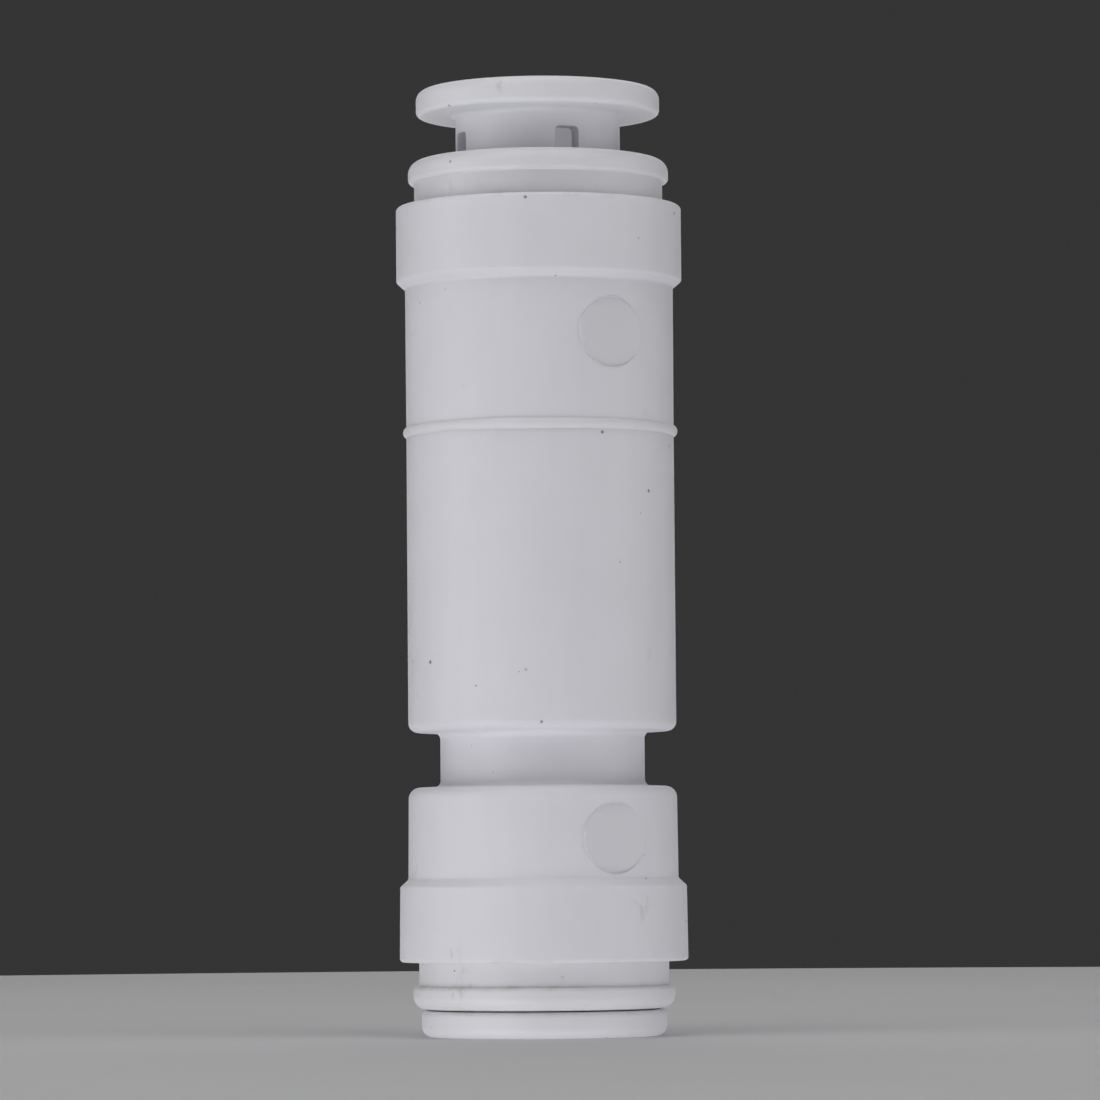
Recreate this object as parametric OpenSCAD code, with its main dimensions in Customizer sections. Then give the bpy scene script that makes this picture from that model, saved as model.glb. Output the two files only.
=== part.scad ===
// In-line push to connect fitting for quarter-inch tube. Two ports stand back to back on the
// Z axis, and a spring-loaded non-return valve sits in the chamber between them.
// The lower collet is pressed in and its outer face is at z = 0. The upper collet is pulled out.

/* [Ports] */
// Outer diameter of the tube that each port takes
tube_d = 6.35; // [6.3:0.01:6.4]
// Depth from a cap's outer face to the tube stop
port_depth = 15; // [14.9:0.1:15.4]
// Distance between the outer faces of the two caps
caps_apart = 44.5; // [44.3:0.1:45]

/* [Body] */
// Diameter of the long barrel
barrel_d = 14.04; // [14:0.02:14.2]
// Diameter of the collar round each port
collar_d = 15; // [14.9:0.05:15.2]
// Length of the full-width part of a collar
collar_len = 3.92; // [3.7:0.02:4]
// Diameter of the waist between the lower port and the chamber
waist_d = 10.7; // [10.6:0.05:11]
// Width of the waist along the axis
waist_len = 2.88; // [2.6:0.02:3]
// How far the moulded sides lean out over their length
draft = 0.045; // [0.02:0.005:0.05]
// How far the weld bead stands out of the barrel
bead_proud = 0.2; // [0.1:0.02:0.24]

/* [Caps] */
// Diameter of the cap's outer lip
lip_d = 13.7; // [13.6:0.05:13.8]
// Thickness of the lip
lip_t = 1.2; // [1.1:0.05:1.3]
// Width of the groove between the lip and the collar
groove_w = 1.26; // [1.2:0.02:1.4]

/* [Collets] */
// Diameter of the collet's push flange
flange_d = 12.82; // [12.6:0.02:13]
// Thickness of the push flange
flange_t = 1.38; // [1.3:0.02:1.5]
// Outer diameter of the collet's sleeve
sleeve_d = 8.65; // [8.6:0.05:8.7]
// Gap under the flange of a collet that is pressed in
pressed_gap = 0.06; // [0.04:0.01:0.1]
// How far a collet slides out
collet_travel = 2.3; // [2:0.02:2.4]
// Width of the slots between the collet's fingers
slot_w = 1.33; // [1.1:0.01:1.4]
// Direction of the first slot, in degrees from +X
slot_angle = -69; // [-90:1:0]

/* [Valve] */
// Diameter of the flow bore
flow_d = 4.4; // [4:0.1:4.6]
// How far the poppet lifts off its seat
poppet_lift = 1.8; // [1.5:0.1:1.9]
// Number of coils in the spring
spring_coils = 5; // [4:0.5:5]
// Diameter of the spring wire
spring_wire = 0.4; // [0.3:0.02:0.4]

/* [Hidden] */
$fn = 96;

plastic_white = [0.86, 0.86, 0.88];
cap_white = [0.84, 0.84, 0.87];
collet_white = [0.88, 0.88, 0.9];
rubber_black = [0.08, 0.08, 0.08];
steel = [0.7, 0.7, 0.72];
valve_grey = [0.55, 0.57, 0.6];

// Fits: the gap round a piece that is pressed in, and round one that slides
static_gap = 0.02;
sliding_gap = 0.05;
// Gap between the tube and the bore of a socket, a collet and a spacer
socket_gap = 0.075;
collet_gap = 0.125;
spacer_gap = 0.2;
// Length of a cut that runs out of the piece, and of one that only clears its end
beyond = 50;
overcut = 1;
// Sides of a ring's round section
section_sides = 48;

// Places along the axis. Depths run inwards from a cap's outer face.
lower_lip_z = flange_t + pressed_gap;
upper_lip_z = lower_lip_z + caps_apart;
collar_start = lip_t + groove_w;
collar_end = collar_start + collar_len;
collar_chamfer = 0.4;
barrel_r = barrel_d / 2;
collar_r = collar_d / 2;
waist_r = waist_d / 2;

// Steps inside each port, as depths and radii
seat_floor = 6;
finger_floor = 8;
gland_floor = 10.3;
gland_r = 5.05;
finger_r = 5.62;
seat_r = 6.55;
socket_r = tube_d / 2 + socket_gap;
socket_lead = 0.25;
port_ring_r = 3;
port_ring_wire = 2;
flow_r = flow_d / 2;

// Lower section, waist and chamber
waist_depth = 11.57;
shoulder_depth = waist_depth + waist_len;
lower_stop_z = lower_lip_z + port_depth;
upper_stop_z = upper_lip_z - port_depth;
web_t = 1.24;
chamber_floor_z = lower_stop_z + web_t;
chamber_roof_z = upper_stop_z - web_t;
chamber_r = 5.4;
weld_z = 31.62;
bead_r = 0.31;
bead_centre = barrel_r + bead_proud - bead_r;
bead_half_angle = acos((barrel_r - bead_centre) / bead_r);

// Valve cartridge, from the chamber floor up
housing_h = 3.2;
housing_top_z = chamber_floor_z + housing_h;
cage_h = 7.4;
cage_top_z = housing_top_z + cage_h;
cartridge_r = chamber_r - static_gap;
housing_ring_h = 1.5;
housing_ring_z = chamber_floor_z + housing_ring_h;
housing_ring_wire = 1;
seat_cone_r = 3.7;
stem_r = 1.2;
head_r = 3.7;
cage_wall_r = 4.65;
cage_plate_t = 1;
cage_plate_z = cage_top_z - cage_plate_t;
hub_r = 1.95;
hub_drop = 0.9;
hub_z = cage_plate_z - hub_drop;
spigot_bore_r = 4.5;

// Round blank pads on the body. Each flat face is sunk at its top and bottom, where the barrel
// curves out past it, and stands proud at its sides.
pad_angle = -57.7;
pad_r = 1.85;
pad_root = 6;
pad_flat = 6.93;
lower_pad_z = 10.26;
upper_pad_z = 36.36;

// The collet, with c = 0 at the inner face of its flange and c growing inwards
sleeve_r = sleeve_d / 2;
collet_bore_r = tube_d / 2 + collet_gap;
collet_len = 7.2;
slot_start = 0.98;
slot_corner = 0.25;
finger_count = 4;
barb_start = 4.4;
barb_full = 5.9;
barb_r = 5.2;
barb_end = 6.6;
cap_mouth_gap = 0.09;
cap_mouth_r = sleeve_r + cap_mouth_gap;
cap_cone_slope = (barb_r - sleeve_r) / (barb_full - barb_start);
cap_cone_start = barb_start - collet_travel - pressed_gap;
cap_inner_r = 5.6;
cap_cone_end = cap_cone_start + (cap_inner_r - cap_mouth_r) / cap_cone_slope;
tooth_tip_r = 3.05;
tooth_root_r = 4.8;
tooth_tip_c = 6.35;
tooth_root_c = 5.85;
tooth_t = 0.24;
tooth_tip_t = 0.08;
tooth_span = 48;

// Points of an arc round a centre, from one angle to another
function arc(centre, r, from, to, steps = 6) = [
    for (i = [0 : steps])
        let (a = from + (to - from) * i / steps)
        [centre[0] + r * cos(a), centre[1] + r * sin(a)]
];

// Draws its children, made in port depth, in the lower or the upper port
module in_lower_port() translate([0, 0, lower_lip_z]) children();
module in_upper_port() translate([0, 0, upper_lip_z]) mirror([0, 0, 1]) children();

// Stepped bore of a port, from outside the collar down to the tube stop, as radius and depth
module port_bore() {
    rotate_extrude()
        polygon([
            [0, collar_start - overcut], [seat_r, collar_start - overcut], [seat_r, seat_floor],
            [finger_r, seat_floor], [finger_r, finger_floor],
            [gland_r, finger_floor], [gland_r, gland_floor],
            [socket_r + socket_lead, gland_floor], [socket_r, gland_floor + socket_lead],
            [socket_r, port_depth], [0, port_depth]
        ]);
}

// Round bar as wide as a pad, between two distances from the axis
module pad_bar(z, start, end) {
    rotate([0, 0, pad_angle]) translate([start, 0, z])
        rotate([0, 90, 0]) cylinder(r = pad_r, h = end - start);
}

// Outline of a collar's outer end and chamfer, in depth, with its end radius and its root radius
function collar_outline(end_r, start_r, root_r, corner = 0.2) = concat(
    arc([end_r - corner, collar_start + corner], corner, -90, 0),
    [[start_r, collar_end], [root_r, collar_end + collar_chamfer]]
);

// Lower moulding: collar, lower section, waist and the chamber up to the weld
module lower_body() {
    top_corner = 0.6;
    barrel_corner = 0.5;
    fillet = 0.38;
    section_r = barrel_r + draft;
    weld_depth = weld_z - lower_lip_z;
    color(plastic_white) difference() {
        union() {
            in_lower_port() rotate_extrude() polygon(concat(
                [[0, collar_start]],
                collar_outline(collar_r + draft, collar_r, section_r),
                arc([barrel_r - top_corner, waist_depth - top_corner], top_corner, 0, 90),
                arc([waist_r + fillet, waist_depth + fillet], fillet, 270, 180),
                arc([waist_r + fillet, shoulder_depth - fillet], fillet, 180, 90),
                arc([barrel_r - barrel_corner, shoulder_depth + barrel_corner],
                    barrel_corner, -90, 0),
                arc([bead_centre, weld_depth], bead_r, -bead_half_angle, 0),
                [[0, weld_depth]]
            ));
            pad_bar(lower_pad_z, pad_root, pad_flat);
        }
        in_lower_port() port_bore();
        cylinder(r = flow_r, h = weld_z);
        translate([0, 0, chamber_floor_z]) cylinder(r = chamber_r, h = beyond);
        pad_bar(lower_pad_z, pad_flat, beyond);
    }
}

// Upper moulding: its spigot closes the chamber, and its port faces up
module upper_body() {
    weld_depth = upper_lip_z - weld_z;
    spigot_depth = upper_lip_z - cage_top_z;
    roof_depth = upper_lip_z - chamber_roof_z;
    color(plastic_white) difference() {
        union() {
            in_upper_port() rotate_extrude() polygon(concat(
                [[0, collar_start]],
                collar_outline(collar_r, collar_r, barrel_r + draft / 2),
                arc([bead_centre, weld_depth], bead_r, -bead_half_angle, 0),
                [[cartridge_r, weld_depth], [cartridge_r, spigot_depth], [0, spigot_depth]]
            ));
            pad_bar(upper_pad_z, pad_root, pad_flat);
        }
        in_upper_port() {
            port_bore();
            cylinder(r = flow_r, h = beyond);
            translate([0, 0, roof_depth]) cylinder(r = spigot_bore_r, h = beyond);
        }
        pad_bar(upper_pad_z, pad_flat, beyond);
    }
}

// Cap: a lip outside the collar, and a plug inside whose cone squeezes the collet's fingers
module cap() {
    lip_corner = 0.7;
    lip_bevel = 0.08;
    mouth_corner = 0.3;
    plug_r = seat_r - static_gap;
    plug_end = seat_floor - static_gap;
    plug_bevel = 0.3;
    color(cap_white) rotate_extrude() polygon(concat(
        arc([lip_d / 2 - lip_corner, lip_corner], lip_corner, -90, 0),
        [
            [lip_d / 2, lip_t - lip_bevel], [lip_d / 2 - lip_bevel, lip_t], [plug_r, lip_t],
            [plug_r, plug_end - plug_bevel], [plug_r - plug_bevel, plug_end],
            [cap_inner_r, plug_end], [cap_inner_r, cap_cone_end], [cap_mouth_r, cap_cone_start]
        ],
        arc([cap_mouth_r + mouth_corner, mouth_corner], mouth_corner, 180, 270)
    ));
}
module lower_cap() in_lower_port() cap();
module upper_cap() in_upper_port() cap();

// Side outline of a tooth: a blade that leans inwards towards its tip
module tooth_outline(gap) {
    polygon([
        [tooth_root_r + gap, tooth_root_c - tooth_t - gap], [tooth_root_r + gap, tooth_root_c + gap],
        [tooth_tip_r, tooth_tip_c + gap], [tooth_tip_r, tooth_tip_c - tooth_tip_t - gap]
    ]);
}

// Tooth number i, or with a gap the pocket that it sits in
module tooth(i, gap = 0) {
    middle = slot_angle + (i - 0.5) * 360 / finger_count;
    spread = tooth_span + 2 * asin(gap / tooth_tip_r);
    color(steel) rotate([0, 0, middle - spread / 2])
        rotate_extrude(angle = spread) tooth_outline(gap);
}

// Slot between two fingers, with rounded corners at its closed end
module finger_slot() {
    half = slot_w / 2;
    translate([0, 0, slot_start]) rotate([90, 0, 90]) linear_extrude(height = beyond) {
        translate([-half, slot_corner]) square([slot_w, beyond]);
        translate([-half + slot_corner, 0]) square([slot_w - 2 * slot_corner, beyond]);
        for (side = [-1, 1])
            translate([side * (half - slot_corner), slot_corner]) circle(r = slot_corner);
    }
}

// Collet: push flange, sleeve and four barbed fingers, drawn from the flange's inner face
module collet() {
    face_corner = 0.55;
    rim_corner = 0.28;
    neck_fillet = 0.3;
    mouth_corner = 0.6;
    tip_r = 4.7;
    tip_bevel = 0.2;
    flange_r = flange_d / 2;
    color(collet_white) difference() {
        rotate_extrude() polygon(concat(
            arc([collet_bore_r + mouth_corner, mouth_corner - flange_t], mouth_corner, 180, 270),
            arc([flange_r - face_corner, face_corner - flange_t], face_corner, -90, 0),
            arc([flange_r - rim_corner, -rim_corner], rim_corner, 0, 90),
            arc([sleeve_r + neck_fillet, neck_fillet], neck_fillet, 270, 180),
            [
                [sleeve_r, barb_start], [barb_r, barb_full], [barb_r, barb_end],
                [tip_r, collet_len], [collet_bore_r + tip_bevel, collet_len],
                [collet_bore_r, collet_len - tip_bevel]
            ]
        ));
        for (i = [1 : finger_count]) {
            rotate([0, 0, slot_angle + i * 360 / finger_count]) finger_slot();
            tooth(i, static_gap);
        }
    }
}

// A collet is pressed in by the depth of its flange's gap, or pulled out by its travel as well
module pressed_in() in_lower_port() translate([0, 0, -pressed_gap]) children();
module pulled_out() in_upper_port() translate([0, 0, -pressed_gap - collet_travel]) children();
module lower_collet() pressed_in() collet();
module upper_collet() pulled_out() collet();
module lower_tooth(i) pressed_in() tooth(i);
module upper_tooth(i) pulled_out() tooth(i);

// Ring that lies on the gland's edge and keeps the O-ring in
module spacer() {
    spacer_t = 0.8;
    bore_r = tube_d / 2 + spacer_gap;
    outer_r = finger_r - static_gap;
    color(plastic_white) translate([0, 0, finger_floor - spacer_t]) difference() {
        cylinder(r = outer_r, h = spacer_t);
        cylinder(r = bore_r, h = beyond, center = true);
    }
}
module lower_spacer() in_lower_port() spacer();
module upper_spacer() in_upper_port() spacer();

// Ring of round rubber: inner radius and wire diameter
module o_ring(inner_r, wire) {
    color(rubber_black) rotate_extrude()
        translate([inner_r + wire / 2, 0]) circle(d = wire, $fn = section_sides);
}
module port_o_ring() {
    translate([0, 0, (finger_floor + gland_floor) / 2]) o_ring(port_ring_r, port_ring_wire);
}
module lower_o_ring() in_lower_port() port_o_ring();
module upper_o_ring() in_upper_port() port_o_ring();

// Seat ring of the valve, with a groove for its own O-ring and a conical seat on top
module valve_housing() {
    groove_half = 0.62;
    groove_r = cartridge_r - housing_ring_wire - static_gap;
    seat_z = housing_top_z - (seat_cone_r - flow_r);
    lead = 0.3;
    color(valve_grey) rotate_extrude() polygon([
        [flow_r + lead, chamber_floor_z], [cartridge_r, chamber_floor_z],
        [cartridge_r, housing_ring_z - groove_half], [groove_r, housing_ring_z - groove_half],
        [groove_r, housing_ring_z + groove_half], [cartridge_r, housing_ring_z + groove_half],
        [cartridge_r, housing_top_z], [seat_cone_r, housing_top_z], [flow_r, seat_z],
        [flow_r, chamber_floor_z + lead]
    ]);
}
module housing_o_ring() {
    translate([0, 0, housing_ring_z])
        o_ring(cartridge_r - housing_ring_wire - static_gap / 2, housing_ring_wire - static_gap);
}

// The poppet's head sits over the seat cone. Its sealing ring lies in a groove under the head.
head_gap = 0.25;
head_t = 1.1;
head_z = housing_top_z + head_gap;
seal_wire = 0.9;
seal_r = 2.95;
seal_drop = 0.08;
seal_z = housing_top_z - seal_drop;
spring_seat_z = head_z + head_t;
stop_r = 1.65;
stop_z = hub_z - poppet_lift - static_gap;
stem_drop = 1.1;
stem_top_z = cage_top_z - stem_drop;
nose_r = flow_r - sliding_gap;
nose_gap = 0.22;
nose_z = lower_stop_z + nose_gap;

// Poppet: guide fins in the flow bore, a head over the seat, and a stem in the cage's hub. The
// stem's shoulder meets the hub when the valve is fully open.
module poppet() {
    fin_t = 0.9;
    fin_count = 3;
    core_r = 0.8;
    core_flare = 0.4;
    cone_r = 2.52;
    cone_base_r = 1.2;
    cone_h = 1.9;
    cone_z = head_z - cone_h;
    skirt_h = 0.6;
    bevel = 0.3;
    seal_bed = 0.02;
    color(valve_grey) {
        difference() {
            rotate_extrude() polygon([
                [0, nose_z], [core_r, nose_z], [core_r, cone_z - core_flare],
                [cone_base_r, cone_z], [cone_r, head_z - skirt_h], [cone_r, head_z],
                [head_r, head_z], [head_r, spring_seat_z - bevel],
                [head_r - bevel, spring_seat_z], [stop_r, spring_seat_z], [stop_r, stop_z],
                [stem_r, stop_z], [stem_r, stem_top_z - bevel], [stem_r - bevel, stem_top_z],
                [0, stem_top_z]
            ]);
            translate([0, 0, seal_z]) rotate_extrude() translate([seal_r, 0])
                circle(r = seal_wire / 2 + seal_bed, $fn = section_sides);
        }
        for (i = [1 : fin_count]) rotate([0, 0, i * 360 / fin_count]) intersection() {
            translate([core_r / 2, -fin_t / 2, nose_z])
                cube([flow_r, fin_t, cone_z - nose_z]);
            cylinder(r = nose_r, h = beyond);
        }
    }
}
module poppet_seal() {
    translate([0, 0, seal_z]) o_ring(seal_r - seal_wire / 2, seal_wire);
}

// Cage: a tube with four windows, and a plate on spokes whose hub guides the stem
module spring_cage() {
    window_w = 3;
    window_sill = 1.2;
    spoke_w = 1.1;
    spoke_count = 4;
    spoke_end = (cage_wall_r + cartridge_r) / 2;
    hub_bore_r = stem_r + sliding_gap;
    window_h = cage_plate_z - housing_top_z - 2 * window_sill;
    color(valve_grey) difference() {
        union() {
            difference() {
                translate([0, 0, housing_top_z])
                    cylinder(r = cartridge_r, h = cage_top_z - housing_top_z);
                cylinder(r = cage_wall_r, h = beyond);
                for (i = [0 : spoke_count - 1])
                    rotate([0, 0, (i + 0.5) * 360 / spoke_count])
                        translate([0, -window_w / 2, housing_top_z + window_sill])
                        cube([beyond, window_w, window_h]);
            }
            for (i = [0 : spoke_count - 1])
                rotate([0, 0, i * 360 / spoke_count])
                    translate([0, -spoke_w / 2, cage_plate_z])
                    cube([spoke_end, spoke_w, cage_plate_t]);
            translate([0, 0, hub_z]) cylinder(r = hub_r, h = cage_top_z - hub_z);
        }
        cylinder(r = hub_bore_r, h = beyond);
    }
}

// Valve spring: a swept coil from the poppet's head up to the cage's spokes
spring_r = 2.45;
spring_sides = 8;
spring_steps = 20;
spring_low_z = spring_seat_z + spring_wire / 2 + static_gap;
spring_high_z = cage_plate_z - spring_wire / 2 - static_gap;
spring_rings = spring_coils * spring_steps;

// Height of the wire's centre: half a turn lies nearly flat at each end
function spring_height(turn) =
    let (
        flat = 0.5,
        rise = min(max(turn - flat, 0) / (spring_coils - 2 * flat), 1)
    )
    spring_low_z + (spring_high_z - spring_low_z) * rise;
function spring_point(i, j) =
    let (
        turn = i / spring_steps,
        a = 360 * turn,
        b = 360 * j / spring_sides,
        r = spring_r + spring_wire / 2 * cos(b)
    )
    [r * cos(a), r * sin(a), spring_height(turn) + spring_wire / 2 * sin(b)];

module valve_spring() {
    points = [
        for (i = [0 : spring_rings], j = [0 : spring_sides - 1]) spring_point(i, j)
    ];
    sides = [
        for (i = [0 : spring_rings - 1], j = [0 : spring_sides - 1])
            let (next = (j + 1) % spring_sides, base = i * spring_sides)
            [base + j, base + next, base + spring_sides + next, base + spring_sides + j]
    ];
    low_end = [for (j = [spring_sides - 1 : -1 : 0]) j];
    high_end = [for (j = [0 : spring_sides - 1]) spring_rings * spring_sides + j];
    color(steel) polyhedron(points, concat(sides, [low_end, high_end]));
}

lower_body();
upper_body();
lower_cap();
upper_cap();
lower_collet();
upper_collet();
for (i = [1 : finger_count]) {
    lower_tooth(i);
    upper_tooth(i);
}
lower_spacer();
upper_spacer();
lower_o_ring();
upper_o_ring();
valve_housing();
housing_o_ring();
poppet();
poppet_seal();
valve_spring();
spring_cage();
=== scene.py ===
# Looks for the in-line push to connect fitting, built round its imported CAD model.
# Lengths in the outlines are millimetres, as in the CAD source; MM turns them into metres.
import math

import bmesh
import bpy
from mathutils import Matrix, Vector


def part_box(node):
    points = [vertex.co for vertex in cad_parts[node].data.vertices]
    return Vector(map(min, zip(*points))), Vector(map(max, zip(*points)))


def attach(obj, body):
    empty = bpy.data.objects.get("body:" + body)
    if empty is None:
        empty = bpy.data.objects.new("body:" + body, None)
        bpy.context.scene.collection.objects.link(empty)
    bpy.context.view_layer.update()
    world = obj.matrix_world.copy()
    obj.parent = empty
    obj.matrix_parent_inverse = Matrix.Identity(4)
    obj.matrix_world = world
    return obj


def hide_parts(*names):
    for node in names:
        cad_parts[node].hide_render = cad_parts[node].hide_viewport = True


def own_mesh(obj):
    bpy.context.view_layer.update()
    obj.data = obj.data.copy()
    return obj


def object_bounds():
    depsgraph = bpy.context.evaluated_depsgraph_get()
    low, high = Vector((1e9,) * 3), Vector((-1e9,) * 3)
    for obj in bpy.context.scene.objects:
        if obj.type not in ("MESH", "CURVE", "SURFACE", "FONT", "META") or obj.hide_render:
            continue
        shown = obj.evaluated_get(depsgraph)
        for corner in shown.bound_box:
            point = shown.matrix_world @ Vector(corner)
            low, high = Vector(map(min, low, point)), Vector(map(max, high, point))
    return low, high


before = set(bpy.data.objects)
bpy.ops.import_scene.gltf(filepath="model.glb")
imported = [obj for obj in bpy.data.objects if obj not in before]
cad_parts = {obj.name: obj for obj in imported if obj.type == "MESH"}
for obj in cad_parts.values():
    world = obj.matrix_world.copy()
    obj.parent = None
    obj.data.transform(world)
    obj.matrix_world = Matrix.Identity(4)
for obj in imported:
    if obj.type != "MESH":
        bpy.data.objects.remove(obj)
cad_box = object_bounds()

MM = 0.001
SIDES = 256  # steps round a full turn
HIDDEN_SIDES = 128  # the same for the rings inside
ARC_STEP = math.radians(6)  # largest turn between two faces of a rounded corner
SUPPORT = 0.04  # a straight stretch gets a ring this far from a rounded corner
EDGE = 0.06  # radius of an edge that looks sharp
SHARP = math.radians(11)  # edges over this angle are shaded crisp
SWEPT_SHARP = math.radians(50)  # the same on thin swept pieces
LEAST_TURN = 1e-4  # a corner that turns by less, in radians, isn't rounded


# ---------------------------------------------------------------- places, from the CAD model

def low_z(node):
    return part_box(node)[0].z / MM


def high_z(node):
    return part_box(node)[1].z / MM


def radius(node):
    low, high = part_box(node)
    return (high.x - low.x) / 2 / MM


LOWER_LIP = low_z("lower_cap")
UPPER_LIP = high_z("upper_cap")
SEAT_FLOOR = high_z("lower_cap") - LOWER_LIP
COLLAR_START = low_z("lower_body") - LOWER_LIP
WELD = high_z("lower_body")
SPIGOT = low_z("upper_body")
COLLAR_R = radius("upper_body")
DRAFT = radius("lower_body") - COLLAR_R
CHAMBER_FLOOR = low_z("valve_housing")
CARTRIDGE_R = radius("valve_housing")
FINGER_R = radius("lower_spacer")
FINGER_FLOOR = high_z("lower_spacer") - LOWER_LIP

# Other sizes, as in the CAD source
BARREL_R = 7.02
COLLAR_END = 6.38
COLLAR_CHAMFER = 0.4
SEAT_R = 6.55
GLAND_R = 5.05
GLAND_FLOOR = 10.3
SOCKET_R = 3.25
SOCKET_LEAD = 0.25
PORT_DEPTH = 15
FLOW_R = 2.2
WAIST_R = 5.35
WAIST_DEPTH = 11.57
WAIST_LEN = 2.88
WEB = 1.24
SPIGOT_BORE_R = 4.5
PAD_R = 1.85
PAD_ROOT = 6
PAD_FLAT = 6.93
PAD_ANGLE = math.radians(-57.7)
LOWER_PAD_Z = 10.26
UPPER_PAD_Z = 36.36
BEAD_R = 0.31
BEAD_PROUD = 0.2
BEAD_CENTRE = BARREL_R + BEAD_PROUD - BEAD_R
LIP_R = radius("lower_cap")
LIP_T = 1.2
CAP_INNER_R = 5.6
CAP_MOUTH_R = 4.415
CONE_START = 2.04
CONE_END = 4.07
FLANGE_R = radius("lower_collet")
FLANGE_T = 1.38
SLEEVE_R = 4.325
COLLET_BORE_R = 3.3
COLLET_LEN = 7.2
BARB_START = 4.4
BARB_FULL = 5.9
BARB_R = 5.2
BARB_END = 6.6
TIP_R = 4.7
SLOT_W = 1.33
SLOT_START = 0.98
SLOT_ANGLE = math.radians(-69)
FINGERS = 4
CLEARANCE = 0.02  # between a moulding and what is pressed into it
TABLE_R = 200

# Radii of rounded corners
BORE_ROUND = 0.2
COLLAR_END_ROUND = 0.2
COLLAR_EDGE_ROUND = 0.15
COLLAR_FOOT_ROUND = 0.2
WAIST_LOW_ROUND = 0.6
WAIST_FOOT_ROUND = 0.38
WAIST_HIGH_ROUND = 0.5
LIP_ROUND = 0.7
LIP_BACK_ROUND = 0.22
PLUG_ROUND = 0.25
CONE_END_ROUND = 0.2
CONE_START_ROUND = 0.1
CAP_MOUTH_ROUND = 0.3
FLANGE_MOUTH_ROUND = 0.6
FLANGE_FACE_ROUND = 0.55
FLANGE_BACK_ROUND = 0.28
NECK_ROUND = 0.3
BARB_ROUND = 0.1
TIP_ROUND = 0.15
SLOT_ROUND = 0.25
SPACER_ROUND = 0.12


# ---------------------------------------------------------------- outlines and meshes

def rounded(corners):
    """A closed outline of (r, z) points through (r, z, radius) corners, each one rounded off."""
    points = []
    for i, (r, z, size) in enumerate(corners):
        here = Vector((r, z))
        into = (here - Vector(corners[i - 1][:2])).normalized()
        out = (Vector(corners[(i + 1) % len(corners)][:2]) - here).normalized()
        turn = into.angle_signed(out)
        if size == 0 or abs(turn) < LEAST_TURN:
            points.append(here)
            continue
        tangent = size * math.tan(abs(turn) / 2)
        steps = max(2, math.ceil(abs(turn) / ARC_STEP))
        side = -1 if turn > 0 else 1
        centre = here - into * tangent + Vector((-into.y, into.x)) * size * side
        arm = (here - into * tangent) - centre
        points.append(here - into * (tangent + SUPPORT))
        for step in range(steps + 1):
            a = -turn * step / steps
            points.append(centre + Vector((
                arm.x * math.cos(a) - arm.y * math.sin(a),
                arm.x * math.sin(a) + arm.y * math.cos(a))))
        points.append(here + out * (tangent + SUPPORT))
    return points


def as_object(name, bm, sharp=SHARP):
    """A smooth-shaded object from a bmesh in millimetres, crisp at edges over the sharp angle."""
    bmesh.ops.recalc_face_normals(bm, faces=bm.faces)
    for face in bm.faces:
        face.smooth = True
    bm.transform(Matrix.Scale(MM, 4))
    mesh = bpy.data.meshes.new(name)
    bm.to_mesh(mesh)
    bm.free()
    mesh.set_sharp_from_angle(angle=sharp)
    made = bpy.data.objects.new(name, mesh)
    bpy.context.scene.collection.objects.link(made)
    return made


def turned(outline, sides=SIDES):
    """A bmesh of a closed (r, z) outline turned round the Z axis."""
    bm = bmesh.new()
    rings = [
        [
            bm.verts.new((r * math.cos(a), r * math.sin(a), z))
            for a in full_turn(sides)
        ]
        for r, z in outline
    ]
    for ring, following in zip(rings, rings[1:] + rings[:1]):
        for k in range(sides):
            after = (k + 1) % sides
            bm.faces.new((ring[k], ring[after], following[after], following[k]))
    return bm


def sweep(bm, rings, closed=True):
    """Joins each ring of points to the next one, and the last ring to the first if closed."""
    for ring, following in zip(rings, rings[1:] + (rings[:1] if closed else [])):
        for j in range(len(ring)):
            after = (j + 1) % len(ring)
            bm.faces.new((ring[j], following[j], following[after], ring[after]))


def full_turn(steps):
    """The angles of that many even steps round a full turn."""
    return [2 * math.pi * k / steps for k in range(steps)]


def combine(piece, other, operation):
    """Joins another solid to the piece or cuts it out, and removes the other solid."""
    change = piece.modifiers.new("combine", "BOOLEAN")
    change.operation = operation
    change.solver = "EXACT"
    change.object = other
    settle(piece)
    bpy.data.objects.remove(other)


def settle(piece):
    """Applies the piece's modifiers to its mesh."""
    bpy.context.view_layer.update()
    shape = piece.evaluated_get(bpy.context.evaluated_depsgraph_get())
    mesh = bpy.data.meshes.new_from_object(shape)
    piece.modifiers.clear()
    piece.data = mesh
    mesh.set_sharp_from_angle(angle=SHARP)


def place(piece, body, node, material):
    """Gives a piece its material, parents it to its CAD body and hides the CAD node it stands in
    for.
    """
    piece.data.materials.clear()
    piece.data.materials.append(material)
    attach(piece, body)
    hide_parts(node)


def in_lower_port(corners):
    """Corners given by depth, at their heights in the lower port."""
    return [(r, LOWER_LIP + depth, size) for r, depth, size in corners]


def in_upper_port(corners):
    """Corners given by depth, at their heights in the upper port."""
    return [(r, UPPER_LIP - depth, size) for r, depth, size in corners]


PORT_BORE = [
    (FLOW_R, PORT_DEPTH, EDGE), (SOCKET_R, PORT_DEPTH, EDGE),
    (SOCKET_R, GLAND_FLOOR + SOCKET_LEAD, EDGE),
    (SOCKET_R + SOCKET_LEAD, GLAND_FLOOR, EDGE), (GLAND_R, GLAND_FLOOR, BORE_ROUND),
    (GLAND_R, FINGER_FLOOR, EDGE), (FINGER_R, FINGER_FLOOR, EDGE),
    (FINGER_R, SEAT_FLOOR, EDGE), (SEAT_R, SEAT_FLOOR, EDGE), (SEAT_R, COLLAR_START, EDGE),
]


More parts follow.
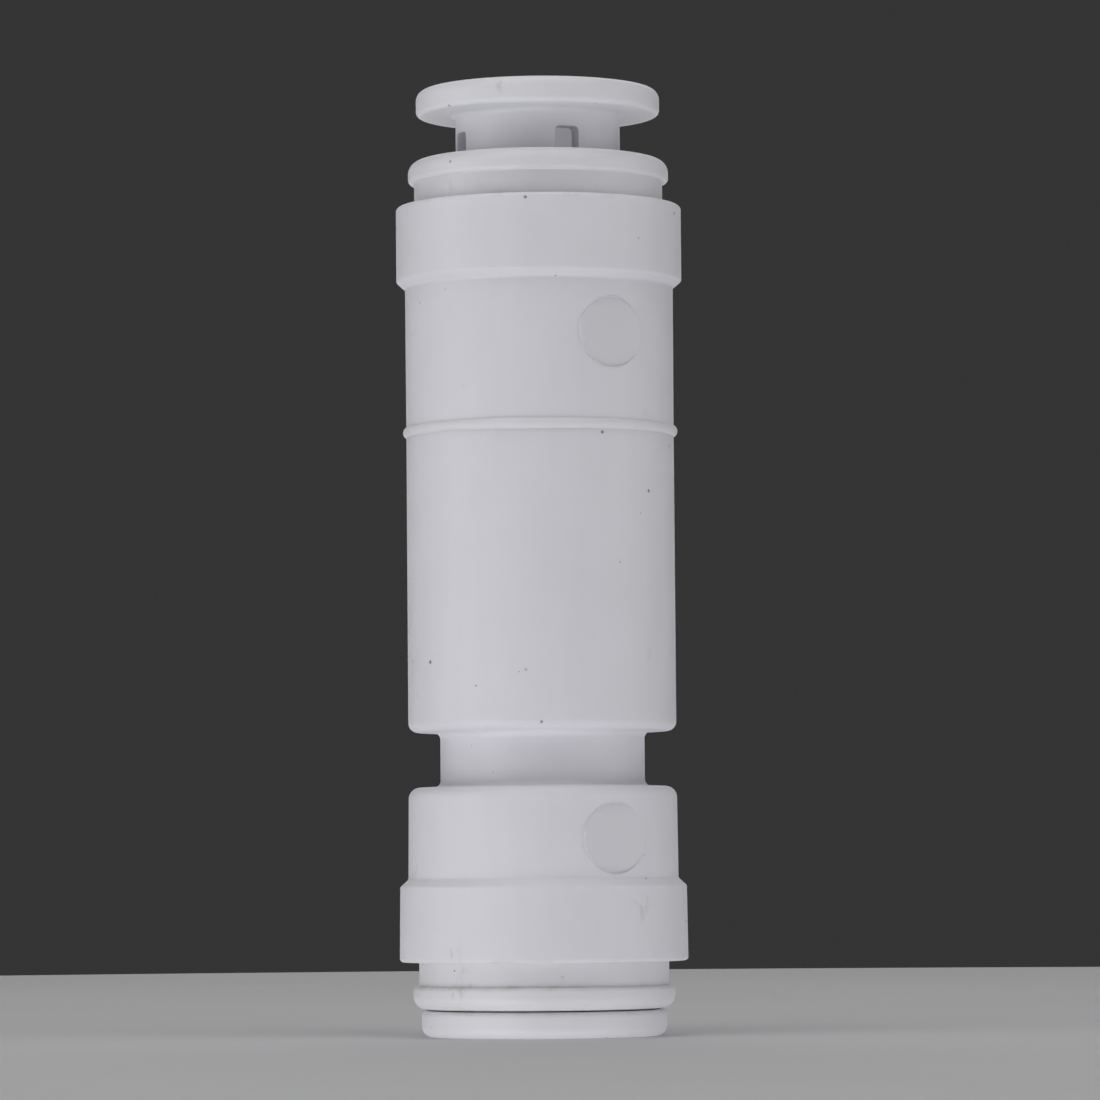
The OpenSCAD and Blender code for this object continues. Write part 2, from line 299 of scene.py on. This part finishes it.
def pad_bar(z, start, end):
    """A round bar between two distances from the axis, as wide as a blank pad."""
    sides = 96
    bm = bmesh.new()
    bmesh.ops.create_cone(
        bm, cap_ends=True, segments=sides, radius1=PAD_R, radius2=PAD_R, depth=end - start)
    bm.transform(Matrix.Rotation(math.pi / 2, 4, "Y"))
    bm.transform(Matrix.Translation(((start + end) / 2, 0, z)))
    bm.transform(Matrix.Rotation(PAD_ANGLE, 4, "Z"))
    return as_object("pad_bar", bm)


def add_pad(piece, z):
    """Gives a body a blank pad: a flat round face, sunk in its middle and proud at its sides."""
    well_outside = PAD_FLAT + 2
    combine(piece, pad_bar(z, PAD_ROOT, PAD_FLAT), "UNION")
    combine(piece, pad_bar(z, PAD_FLAT, well_outside), "DIFFERENCE")


def collar_side(end_r, root_r):
    """The outside of a collar: its rounded outer end, its side and the chamfer to the barrel."""
    return [
        (end_r, COLLAR_START, COLLAR_END_ROUND), (COLLAR_R, COLLAR_END, COLLAR_EDGE_ROUND),
        (root_r, COLLAR_END + COLLAR_CHAMFER, COLLAR_FOOT_ROUND),
    ]


def lower_body():
    """The long moulding, with the lower port, the waist and the valve's chamber."""
    outside = collar_side(COLLAR_R + DRAFT, BARREL_R + DRAFT) + [
        (BARREL_R, WAIST_DEPTH, WAIST_LOW_ROUND), (WAIST_R, WAIST_DEPTH, WAIST_FOOT_ROUND),
        (WAIST_R, WAIST_DEPTH + WAIST_LEN, WAIST_FOOT_ROUND),
        (BARREL_R, WAIST_DEPTH + WAIST_LEN, WAIST_HIGH_ROUND),
    ]
    chamber_r = CARTRIDGE_R + CLEARANCE
    inside = [
        (BARREL_R, WELD, 0), (chamber_r, WELD, 0), (chamber_r, CHAMBER_FLOOR, BORE_ROUND),
        (FLOW_R, CHAMBER_FLOOR, EDGE),
    ]
    outline = rounded(in_lower_port(outside) + inside + in_lower_port(PORT_BORE))
    piece = as_object("lower_body_shell", turned(outline))
    add_pad(piece, LOWER_PAD_Z)
    return piece


def upper_body():
    """The short moulding, with the upper port and the spigot that holds the valve down."""
    outside = collar_side(COLLAR_R, BARREL_R + DRAFT / 2)
    web_z = UPPER_LIP - PORT_DEPTH - WEB
    inside = [
        (BARREL_R, WELD, 0), (CARTRIDGE_R, WELD, 0), (CARTRIDGE_R, SPIGOT, BORE_ROUND),
        (SPIGOT_BORE_R, SPIGOT, EDGE), (SPIGOT_BORE_R, web_z, BORE_ROUND), (FLOW_R, web_z, EDGE),
    ]
    outline = rounded(in_upper_port(outside) + inside + in_upper_port(PORT_BORE))
    piece = as_object("upper_body_shell", turned(outline))
    add_pad(piece, UPPER_PAD_Z)
    return piece


# ---------------------------------------------------------------- materials

class Finish:
    """A node material, with short calls that add nodes and join them."""

    def __init__(self, name):
        self.data = bpy.data.materials.new(name)
        self.data.use_nodes = True
        self.tree = self.data.node_tree
        self.shader = self.tree.nodes["Principled BSDF"]
        self.place = self.add("TexCoord").outputs["Object"]

    def add(self, kind, inputs=(), **settings):
        made = self.tree.nodes.new("ShaderNode" + kind)
        for name, value in settings.items():
            setattr(made, name, value)
        for name, value in dict(inputs).items():
            self.feed(made.inputs[name], value)
        return made

    def feed(self, socket, value):
        if isinstance(value, bpy.types.NodeSocket):
            self.tree.links.new(value, socket)
        else:
            socket.default_value = value

    def noise(self, size, detail=2.0, stretch=(1, 1, 1)):
        """Noise with features of about that size in millimetres, from 0 to 1."""
        spread = self.add("Mapping", {"Vector": self.place, "Scale": stretch})
        made = self.add("TexNoise", {
            "Vector": spread.outputs[0], "Scale": 1 / (size * MM), "Detail": detail})
        return made.outputs["Fac"]

    def between(self, fac, low, high, start=0.3, end=0.7):
        """A number from low to high as fac goes from start to end."""
        made = self.add("MapRange", {
            "Value": fac, "From Min": start, "From Max": end, "To Min": low, "To Max": high})
        return made.outputs["Result"]

    def mix(self, fac, a, b):
        return self.add("Mix", {0: fac, 6: a, 7: b}, data_type="RGBA").outputs[2]

    def math(self, operation, *values):
        return self.add("Math", dict(enumerate(values)), operation=operation).outputs[0]

    def specks(self, spacing, size, share):
        """Spots of about that size, in a share of the cells of that spacing, some of them faint."""
        cells = self.add("TexVoronoi", {"Vector": self.place, "Scale": 1 / (spacing * MM)})
        near = self.between(cells.outputs["Distance"], 1, 0, size / spacing / 2, size / spacing)
        pick = self.add("SeparateColor", {"Color": cells.outputs["Color"]})
        some = self.between(pick.outputs[0], 0, 1, 1 - share, 1 - share / 2)
        return self.math("MULTIPLY", near, some)

    def seam(self, z, width):
        """One at a height in millimetres, falling to nothing at that distance from it."""
        height = self.add("SeparateXYZ", {"Vector": self.place}).outputs["Z"]
        off = self.math("ABSOLUTE", self.math("SUBTRACT", height, z * MM))
        return self.between(off, 1, 0, 0, width * MM)

    def spot(self, centre, size):
        """One within a distance of a point, in millimetres, and nothing outside it."""
        fade = 0.03
        off = self.add("VectorMath", {0: self.place, 1: Vector(centre) * MM}, operation="DISTANCE")
        return self.between(off.outputs["Value"], 1, 0, size * MM, (size + fade) * MM)


def shade(base, share):
    """A colour with that share of its brightness."""
    return [c * share for c in base[:3]] + [1]


DIRT = (0.50, 0.45, 0.30, 1)
RUBBED = (0.42, 0.41, 0.42, 1)
SPECK = (0.17, 0.14, 0.12, 1)


def plastic(name, base, gloss, seams=(), pads=()):
    """Moulded plastic with faint clouding and flow lines, specks and grey rubs.

    It has dirt along the seams, which are heights. On the pads, which are points, it is rougher,
    and its colour is darkened there as painted shade.
    """
    seam_width = 0.28
    f = Finish(name)
    colour = f.mix(f.between(f.noise(7, 3), 0, 0.6), base, shade(base, 0.94))
    flow = f.between(f.noise(1.2, 3, (1, 1, 0.12)), 0, 0.25, 0.45, 0.75)
    colour = f.mix(flow, colour, shade(base, 0.92))
    patch = f.between(f.noise(3.2, 1), 0, 0.3, 0.68, 0.76)
    rub = f.math("MULTIPLY", patch, f.between(f.noise(0.4, 4, (1, 1, 0.55)), 0, 1, 0.5, 0.66))
    worn = f.math("MULTIPLY", rub, 0.3)
    for centre in pads:
        # Painted shade: each pad's colour is darkened by a fixed share, standing in for the shade
        # on its flat face; the pad is also made rougher.
        pad_shade_and_dullness = f.spot(centre, PAD_R)
        colour = f.mix(pad_shade_and_dullness, colour, shade(base, 0.92))
        worn = f.math("MAXIMUM", worn, f.math("MULTIPLY", pad_shade_and_dullness, 0.15))
    dirt = f.between(f.noise(1.4, 3), 0, 0.35, 0.5, 0.68)
    for z in seams:
        colour = f.mix(f.math("MULTIPLY", f.seam(z, seam_width), dirt), colour, DIRT)
    colour = f.mix(rub, colour, RUBBED)
    spots = f.math("MAXIMUM", f.specks(1.9, 0.12, 0.6), f.specks(1.1, 0.06, 0.4))
    colour = f.mix(spots, colour, SPECK)
    f.feed(f.shader.inputs["Base Color"], colour)
    smooth = f.between(f.noise(1.5, 4), gloss - 0.06, gloss + 0.08)
    f.feed(f.shader.inputs["Roughness"], f.math("ADD", smooth, worn))
    f.shader.inputs["Subsurface Weight"].default_value = 0.25
    f.shader.inputs["Subsurface Radius"].default_value = (1.0, 1.0, 1.1)
    f.shader.inputs["Subsurface Scale"].default_value = 0.6 * MM
    grain = f.add("Bump", {"Height": f.noise(0.12, 3), "Strength": 0.12, "Distance": 0.02 * MM})
    wave = f.add("Bump", {
        "Height": f.noise(2.5, 2), "Strength": 0.3, "Distance": 0.03 * MM,
        "Normal": grain.outputs[0]})
    pits = f.add("Bump", {
        "Height": f.math("ADD", spots, rub), "Strength": 0.4, "Distance": 0.02 * MM,
        "Normal": wave.outputs[0]}, invert=True)
    f.feed(f.shader.inputs["Normal"], pits.outputs[0])
    return f.data


def rubber(name):
    """Black nitrile rubber with a faint bloom and a moulded grain."""
    f = Finish(name)
    bloom = f.between(f.noise(1.5, 4), 0, 1)
    f.feed(f.shader.inputs["Base Color"], f.mix(
        bloom, (0.012, 0.012, 0.013, 1), (0.03, 0.03, 0.032, 1)))
    f.feed(f.shader.inputs["Roughness"], f.between(f.noise(0.6, 3), 0.35, 0.55))
    grain = f.add("Bump", {"Height": f.noise(0.08, 2), "Strength": 0.2, "Distance": 0.01 * MM})
    f.feed(f.shader.inputs["Normal"], grain.outputs[0])
    return f.data


def steel(name, stretch):
    """Bright stainless steel with drawing or rolling marks along one direction."""
    f = Finish(name)
    marks = f.noise(0.1, 4, stretch)
    f.feed(f.shader.inputs["Base Color"], f.mix(
        f.between(marks, 0, 1), (0.62, 0.61, 0.60, 1), (0.50, 0.50, 0.50, 1)))
    f.shader.inputs["Metallic"].default_value = 1.0
    f.feed(f.shader.inputs["Roughness"], f.between(marks, 0.2, 0.38))
    grain = f.add("Bump", {"Height": marks, "Strength": 0.2, "Distance": 0.005 * MM})
    f.feed(f.shader.inputs["Normal"], grain.outputs[0])
    return f.data


PAD_CENTRES = [
    (PAD_FLAT * math.cos(PAD_ANGLE), PAD_FLAT * math.sin(PAD_ANGLE), z)
    for z in (LOWER_PAD_Z, UPPER_PAD_Z)
]
BODY_WHITE = plastic(
    "body_white", (0.80, 0.79, 0.84, 1), 0.42,
    (LOWER_LIP + COLLAR_START, UPPER_LIP - COLLAR_START), PAD_CENTRES)
CAP_WHITE = plastic(
    "cap_white", (0.80, 0.80, 0.83, 1), 0.36,
    (LOWER_LIP, LOWER_LIP + LIP_T, UPPER_LIP - COLLAR_START))
COLLET_WHITE = plastic("collet_white", (0.81, 0.81, 0.85, 1), 0.38, (LOWER_LIP, UPPER_LIP))
VALVE_GREY = plastic("valve_grey", (0.35, 0.36, 0.38, 1), 0.4)
SEAL_BLACK = rubber("seal_black")
SPRING_STEEL = steel("spring_steel", (1, 1, 0.3))
TOOTH_STEEL = steel("tooth_steel", (1, 1, 0.1))


# ---------------------------------------------------------------- pieces

def cap():
    """Corners of a cap: lip, plug, and the cone that squeezes the collet's fingers."""
    plug_r = SEAT_R - CLEARANCE
    return [
        (LIP_R, 0, LIP_ROUND), (LIP_R, LIP_T, LIP_BACK_ROUND),
        (plug_r, LIP_T, 0), (plug_r, SEAT_FLOOR, PLUG_ROUND),
        (CAP_INNER_R, SEAT_FLOOR, EDGE), (CAP_INNER_R, CONE_END, CONE_END_ROUND),
        (CAP_MOUTH_R, CONE_START, CONE_START_ROUND), (CAP_MOUTH_R, 0, CAP_MOUTH_ROUND),
    ]


def collet_outline():
    """Corners of a collet from its flange's inner face, with depths growing along the fingers."""
    return [
        (COLLET_BORE_R, -FLANGE_T, FLANGE_MOUTH_ROUND), (FLANGE_R, -FLANGE_T, FLANGE_FACE_ROUND),
        (FLANGE_R, 0, FLANGE_BACK_ROUND), (SLEEVE_R, 0, NECK_ROUND),
        (SLEEVE_R, BARB_START, BARB_ROUND), (BARB_R, BARB_FULL, BARB_ROUND),
        (BARB_R, BARB_END, EDGE), (TIP_R, COLLET_LEN, EDGE),
        (COLLET_BORE_R, COLLET_LEN, TIP_ROUND),
    ]


def slot_cutter(face_z, inwards, angle):
    """A bar with two rounded corners, which cuts one slot between two fingers."""
    inside_bore, outside_barb = 2.0, 6.0
    half = SLOT_W / 2
    outline = [Vector((-half, COLLET_LEN)), Vector((half, COLLET_LEN))]
    for side in (1, -1):
        centre = Vector((side * (half - SLOT_ROUND), SLOT_START + SLOT_ROUND))
        turns = [math.radians(a) for a in range(0, 91, 10)]
        if side < 0:
            turns.reverse()
        outline += [
            centre + SLOT_ROUND * Vector((side * math.cos(a), -math.sin(a))) for a in turns]
    bm = bmesh.new()
    near, far = (
        [bm.verts.new((x, p.x, face_z + inwards * p.y)) for p in outline]
        for x in (inside_bore, outside_barb))
    bm.faces.new(near)
    bm.faces.new(list(reversed(far)))
    sweep(bm, [near, far], closed=False)
    bm.transform(Matrix.Rotation(angle, 4, "Z"))
    return as_object("slot_cutter", bm)


def collet(name, face_z, inwards):
    """A collet whose flange's inner face is at face_z. Its fingers point up if inwards is 1."""
    outline = rounded([(r, face_z + inwards * depth, size) for r, depth, size in collet_outline()])
    piece = as_object(name, turned(outline))
    for turn in full_turn(FINGERS):
        combine(piece, slot_cutter(face_z, inwards, SLOT_ANGLE + turn), "DIFFERENCE")
    return piece


def weld_bead():
    """The bead of melted plastic that was squeezed out where the two mouldings were joined."""
    bm = bmesh.new()
    rings = []
    sides, inset = 20, 0.01
    for a in full_turn(SIDES):
        swell = (
            0.010 * math.sin(3 * a + 0.5) + 0.008 * math.sin(7 * a + 2)
            + 0.005 * math.sin(17 * a))
        lift = 0.012 * math.sin(2 * a + 1) + 0.008 * math.sin(5 * a)
        rings.append([
            bm.verts.new((
                (BEAD_CENTRE + (BEAD_R - inset + swell) * math.cos(t)) * math.cos(a),
                (BEAD_CENTRE + (BEAD_R - inset + swell) * math.cos(t)) * math.sin(a),
                WELD + lift + (BEAD_R + swell) * math.sin(t)))
            for t in full_turn(sides)
        ])
    sweep(bm, rings)
    return as_object("weld_bead", bm)


def pad_burr(name, z):
    """The thin uneven edge round a blank pad, where the mould's insert ended."""
    bm = bmesh.new()
    rings = []
    steps, sides, thinnest, sunk = 240, 10, 0.004, 0.008
    for a in full_turn(steps):
        wire = max(thinnest, (
            0.018 + 0.018 * math.sin(2 * a + z) + 0.012 * math.sin(9 * a + 2)
            + 0.010 * math.sin(23 * a)))
        across, along = PAD_R * math.cos(a), PAD_R * math.sin(a)
        surface = math.sqrt((BARREL_R + DRAFT / 2) ** 2 - across ** 2)
        height = max(PAD_FLAT, surface) - sunk
        rings.append([
            bm.verts.new((
                height + wire * math.sin(t),
                across + wire * math.cos(t) * math.cos(a),
                z + along + wire * math.cos(t) * math.sin(a)))
            for t in full_turn(sides)
        ])
    sweep(bm, rings)
    bm.transform(Matrix.Rotation(PAD_ANGLE, 4, "Z"))
    return as_object(name, bm, SWEPT_SHARP)


def o_ring(node, body):
    """A ring of round section that fills its node's box."""
    low, high = low_z(node), high_z(node)
    sides, wire_r = 36, (high - low) / 2
    centre_r, z = radius(node) - wire_r, (high + low) / 2
    outline = [
        (centre_r + wire_r * math.cos(t), z + wire_r * math.sin(t)) for t in full_turn(sides)]
    piece = as_object(node + "_seal", turned(outline, HIDDEN_SIDES))
    place(piece, body, node, SEAL_BLACK)


def spacer(node):
    """The flat ring between an O-ring and a collet's fingers."""
    bore_r = 3.375
    low, high = low_z(node), high_z(node)
    corners = ((bore_r, low), (FINGER_R, low), (FINGER_R, high), (bore_r, high))
    outline = rounded([(r, z, SPACER_ROUND) for r, z in corners])
    piece = as_object(node + "_ring", turned(outline, HIDDEN_SIDES))
    place(piece, "housing", node, CAP_WHITE)


def spring():
    """The valve's spring, closed by half a turn at each end."""
    low, high = low_z("valve_spring"), high_z("valve_spring")
    wire, coils, steps, sides, flat = 0.4, 5, 48, 16, 0.5
    middle_r = radius("valve_spring") - wire / 2
    bm = bmesh.new()
    rings = []
    for i in range(coils * steps + 1):
        turn = i / steps
        rise = min(max(turn - flat, 0) / (coils - 2 * flat), 1)
        z = low + wire / 2 + (high - low - wire) * rise
        rings.append([
            bm.verts.new((
                (middle_r + wire / 2 * math.cos(t)) * math.cos(2 * math.pi * turn),
                (middle_r + wire / 2 * math.cos(t)) * math.sin(2 * math.pi * turn),
                z + wire / 2 * math.sin(t)))
            for t in full_turn(sides)
        ])
    sweep(bm, rings, closed=False)
    bm.faces.new(rings[0])
    bm.faces.new(list(reversed(rings[-1])))
    piece = as_object("spring_coil", bm, SWEPT_SHARP)
    place(piece, "housing", "valve_spring", SPRING_STEEL)
    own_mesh(piece)


place(lower_body(), "housing", "lower_body", BODY_WHITE)
place(upper_body(), "housing", "upper_body", BODY_WHITE)
for piece in (
        weld_bead(), pad_burr("lower_pad_burr", LOWER_PAD_Z),
        pad_burr("upper_pad_burr", UPPER_PAD_Z)):
    piece.data.materials.append(BODY_WHITE)
    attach(piece, "housing")

place(as_object("lower_cap_ring", turned(rounded(in_lower_port(cap())))),
      "housing", "lower_cap", CAP_WHITE)
place(as_object("upper_cap_ring", turned(rounded(in_upper_port(cap())))),
      "housing", "upper_cap", CAP_WHITE)
place(collet("lower_collet_sleeve", low_z("lower_collet") + FLANGE_T, 1),
      "lower_collet", "lower_collet", COLLET_WHITE)
place(collet("upper_collet_sleeve", high_z("upper_collet") - FLANGE_T, -1),
      "upper_collet", "upper_collet", COLLET_WHITE)

for end in ("lower", "upper"):
    o_ring(end + "_o_ring", "housing")
    spacer(end + "_spacer")
o_ring("housing_o_ring", "housing")
o_ring("poppet_seal", "poppet")
spring()

for name in ("valve_housing", "poppet", "spring_cage"):
    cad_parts[name].data.materials.clear()
    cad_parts[name].data.materials.append(VALVE_GREY)
for end in ("lower", "upper"):
    for k in range(1, FINGERS + 1):
        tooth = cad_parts[f"{end}_tooth_{k}"]
        tooth.data.materials.clear()
        tooth.data.materials.append(TOOTH_STEEL)

# ---------------------------------------------------------------- camera, light and floor

def make_camera():
    """The camera stands a little over the table and looks slightly up, from 304 mm away."""
    distance, height, aside = 304 * MM, 8.65 * MM, 0.476 * MM
    pitch, roll = math.radians(3.16), math.radians(-0.46)
    data = bpy.data.cameras.new("camera")
    data.lens = 189.8
    data.sensor_width = 36
    data.clip_start = 0.01
    data.clip_end = 10
    made = bpy.data.objects.new("camera", data)
    made.matrix_world = (
        Matrix.Translation((aside, -distance, height))
        @ Matrix.Rotation(math.pi / 2 + pitch, 4, "X")
        @ Matrix.Rotation(roll, 4, "Z"))
    bpy.context.scene.collection.objects.link(made)
    bpy.context.scene.camera = made


def soft_light(name, azimuth, elevation, power, size=0.35, away=0.5):
    """A large square lamp aimed at the object's middle. Azimuth 0 is behind the camera."""
    data = bpy.data.lights.new(name, "AREA")
    data.size = size
    data.energy = power
    made = bpy.data.objects.new(name, data)
    a, e = math.radians(azimuth), math.radians(elevation)
    back = Vector((math.sin(a) * math.cos(e), -math.cos(a) * math.cos(e), math.sin(e)))
    made.location = (cad_box[0] + cad_box[1]) / 2 + back * away
    made.rotation_euler = back.to_track_quat("Z", "Y").to_euler()
    made.visible_camera = False
    bpy.context.scene.collection.objects.link(made)
    return made


def make_floor():
    """A round pale table top. The part stands on its lower collet, so the table stays under it."""
    bm = bmesh.new()
    bmesh.ops.create_circle(bm, cap_ends=True, segments=SIDES, radius=TABLE_R)
    floor = as_object("floor", bm)
    f = Finish("floor_pale")
    tone = f.between(f.noise(60, 3), 0, 1)
    f.feed(f.shader.inputs["Base Color"], f.mix(
        tone, (0.55, 0.55, 0.56, 1), (0.52, 0.52, 0.53, 1)))
    f.shader.inputs["Roughness"].default_value = 0.8
    floor.data.materials.append(f.data)
    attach(floor, "lower_collet")
    return floor


make_camera()
floor = make_floor()
for name, azimuth, elevation, power in (
        ("left", -80, 5, 0.38), ("right", 75, 5, 0.3),
        ("high_left", -40, 50, 0.5), ("high_right", 40, 50, 0.42), ("top", 0, 89, 0.7),
        ("back", 180, 5, 0.15), ("high_back", 180, 45, 0.25)):
    soft_light(name, azimuth, elevation, power)

# The table lets the low lamps' light through, as a glass table does
LOW_ELEVATION = -30
LOW_SIZE = 0.5
through = bpy.data.collections.new("lets_light_through")
through.objects.link(floor)
through.collection_objects[0].light_linking.link_state = "EXCLUDE"
for name, azimuth, power in (
        ("low_left", -50, 1.18), ("low_right", 50, 0.6),
        ("low_far_right", 90, 0.2), ("low_back", 180, 0.12)):
    lamp = soft_light(name, azimuth, LOW_ELEVATION, power, LOW_SIZE)
    lamp.light_linking.blocker_collection = through

world = bpy.data.worlds.new("studio")
bpy.context.scene.world = world
world.use_nodes = True
world.node_tree.nodes["Background"].inputs["Color"].default_value = (0.035, 0.035, 0.035, 1)
bpy.context.scene.view_settings.view_transform = "Standard"
